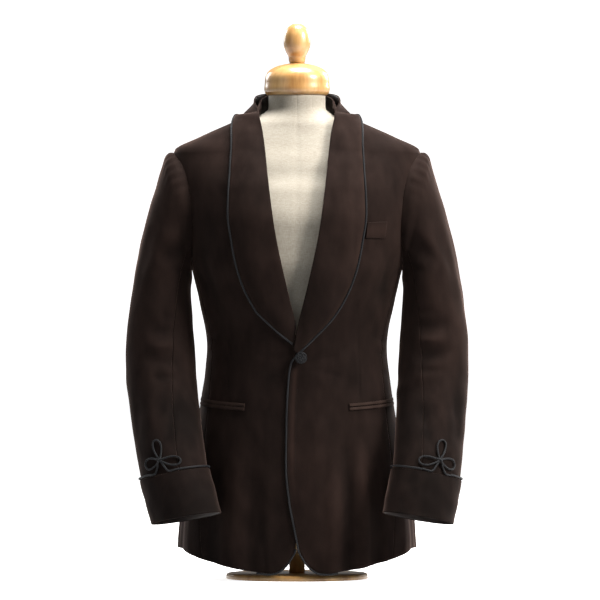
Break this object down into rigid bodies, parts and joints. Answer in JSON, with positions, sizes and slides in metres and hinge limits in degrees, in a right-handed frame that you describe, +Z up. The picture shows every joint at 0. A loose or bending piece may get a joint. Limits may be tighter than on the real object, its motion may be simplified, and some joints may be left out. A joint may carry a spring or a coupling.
{
  "type": "smoking jacket on dress form",
  "caption": "Velvet smoking jacket with shawl collar, braided edges and turned-back cuffs, worn by a limbless dress form on a round base.",
  "frame": {"origin": "centre of the underside of the dress form's round base", "axes": "+Z up, -Y the way the jacket's front looks, +X the wearer's left"},
  "size_m": [0.6016, 0.3251, 0.9755],
  "materials": {
    "velvet": "dark brown cotton velvet with a short upright pile",
    "braid": "black twisted silk cord and corded button cover",
    "linen": "plain natural linen stretched over the form",
    "wood": "turned beech, golden and varnished"
  },
  "bodies": {
    "root": {"back_left": "velvet", "back_right": "velvet", "breast_welt": "velvet", "button": "braid", "collar_stand": "velvet", "corner_braid_right": "braid", "cuff_braid_left": "braid", "cuff_braid_right": "braid", "cuff_left": "velvet", "cuff_right": "velvet", "edge_braid_left": "braid", "edge_braid_right": "braid", "form_base": "wood", "form_finial": "wood", "form_neck_cap": "wood", "form_pole": "wood", "form_torso": "linen", "front_left": "velvet", "front_right": "velvet", "hip_jet_lower_left": "velvet", "hip_jet_lower_right": "velvet", "hip_jet_upper_left": "velvet", "hip_jet_upper_right": "velvet", "shawl_left": "velvet", "shawl_right": "velvet", "side_left": "velvet", "side_right": "velvet", "topsleeve_left": "velvet", "topsleeve_right": "velvet", "undersleeve_left": "velvet", "undersleeve_right": "velvet"}
  },
  "joints": []
}
